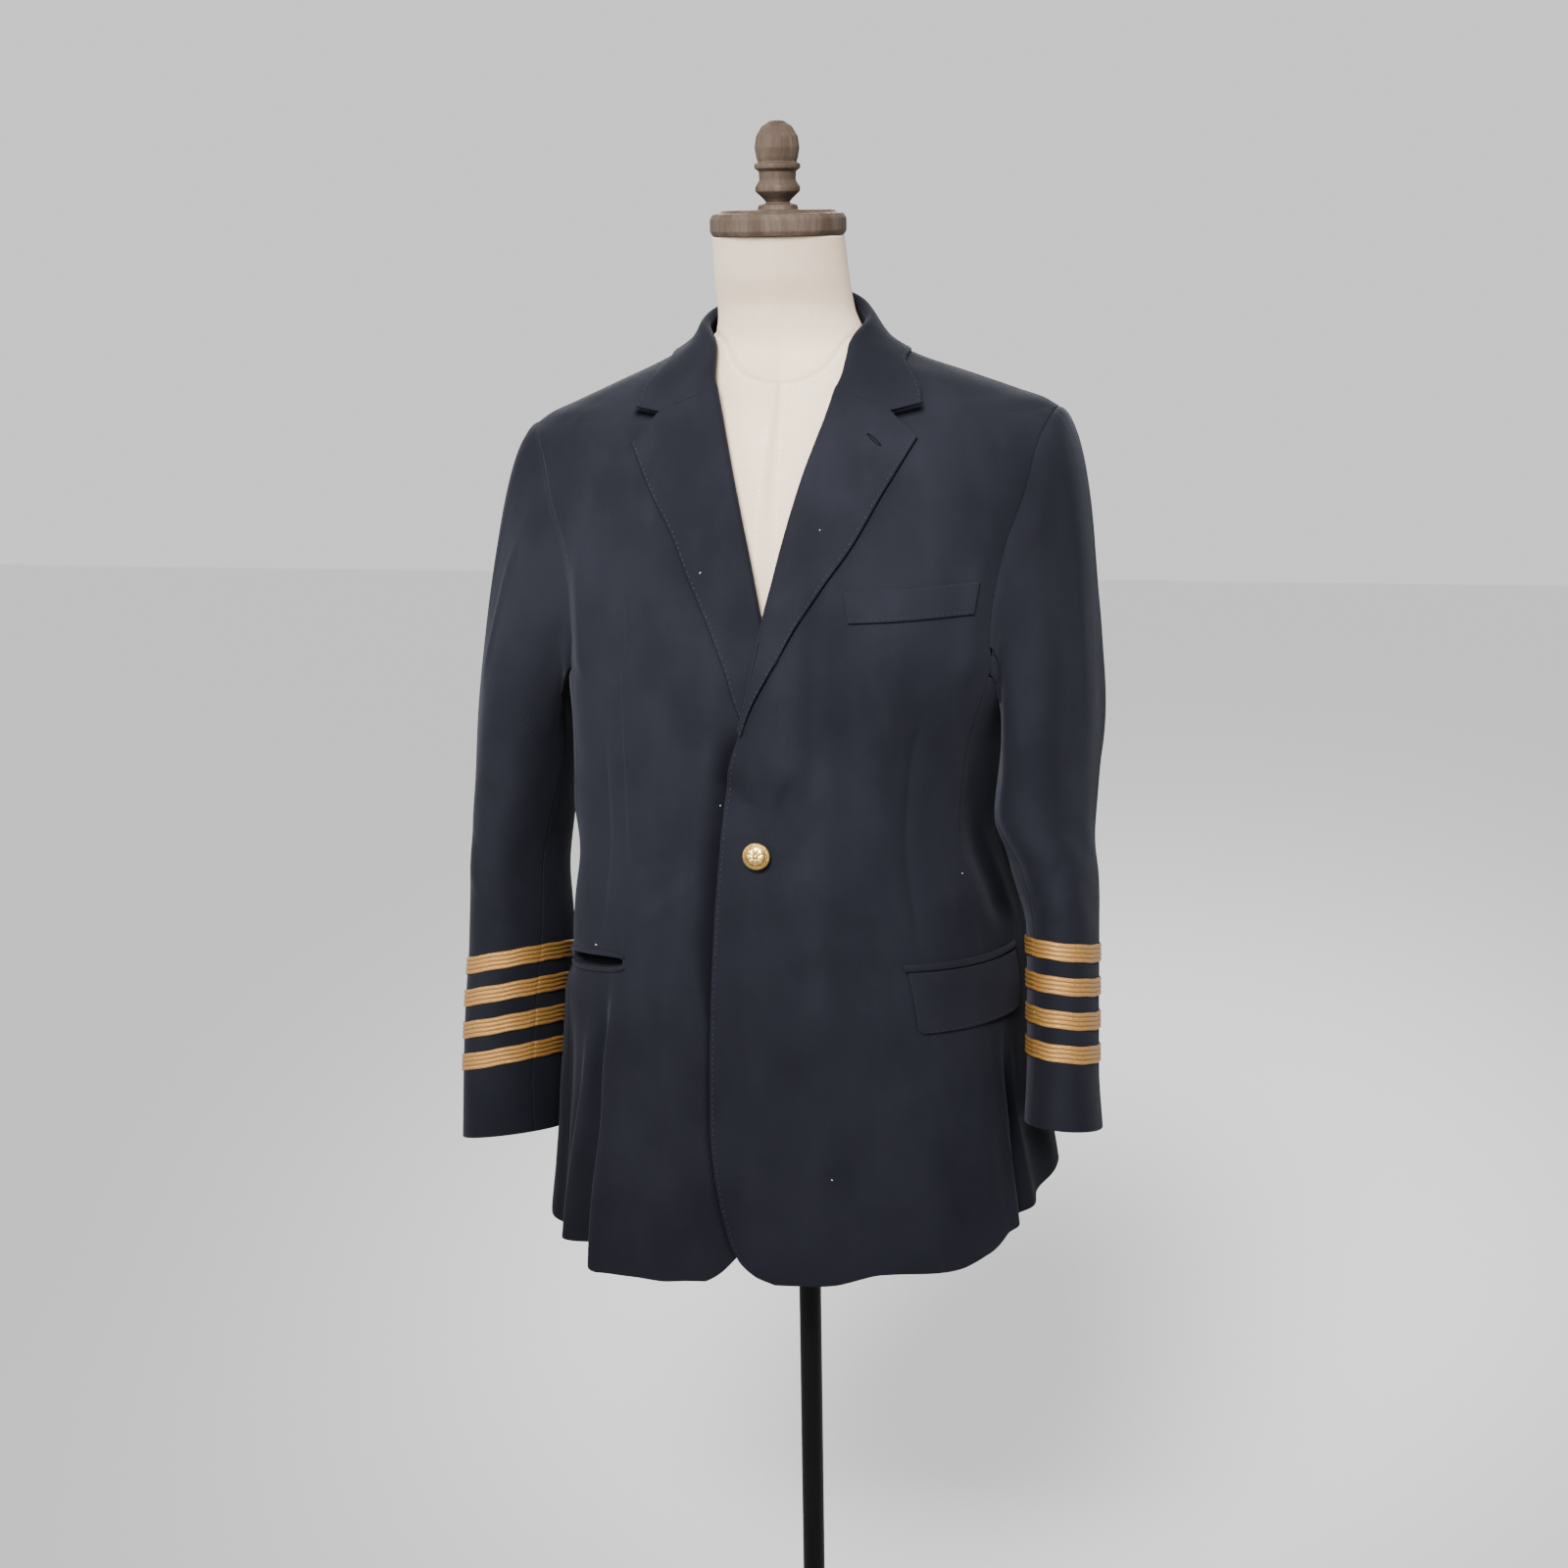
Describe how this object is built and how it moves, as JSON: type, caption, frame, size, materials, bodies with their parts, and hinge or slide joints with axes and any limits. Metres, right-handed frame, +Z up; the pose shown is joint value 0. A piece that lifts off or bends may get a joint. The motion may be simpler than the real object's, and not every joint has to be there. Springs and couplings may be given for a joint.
{
  "type": "pilot uniform jacket on a dress form",
  "caption": "Dark single-breasted uniform jacket with notch lapels, ribbed gilt cuff braids and one domed button, worn by a limbless linen dress form on a pole and round base.",
  "frame": {"origin": "centre of the round base's underside, on the pole's axis", "axes": "+Z up along the pole, -Y out of the jacket's front, +X towards the wearer's left"},
  "size_m": [0.5759, 0.3586, 1.6643],
  "materials": {
    "navy_wool": "matt worsted wool",
    "gold_braid": "ribbed gilt wire lace",
    "gilt_brass": "polished",
    "cream_linen": "plain weave",
    "grey_brown_wood": "satin",
    "black_metal": "semi gloss black"
  },
  "bodies": {
    "root": {"front_left": "navy_wool", "front_right": "navy_wool", "side_left": "navy_wool", "side_right": "navy_wool", "back_left": "navy_wool", "back_right": "navy_wool", "lapel_left": "navy_wool", "lapel_right": "navy_wool", "collar": "navy_wool", "top_sleeve_left": "navy_wool", "top_sleeve_right": "navy_wool", "under_sleeve_left": "navy_wool", "under_sleeve_right": "navy_wool", "breast_welt": "navy_wool", "pocket_flap": "navy_wool", "flap_jet": "navy_wool", "jet_upper": "navy_wool", "jet_lower": "navy_wool", "braid_left_1": "gold_braid", "braid_left_2": "gold_braid", "braid_left_3": "gold_braid", "braid_left_4": "gold_braid", "braid_right_1": "gold_braid", "braid_right_2": "gold_braid", "braid_right_3": "gold_braid", "braid_right_4": "gold_braid", "button": "gilt_brass", "dress_form": "cream_linen", "neck_cap": "grey_brown_wood", "pole_and_base": "black_metal"}
  },
  "joints": []
}
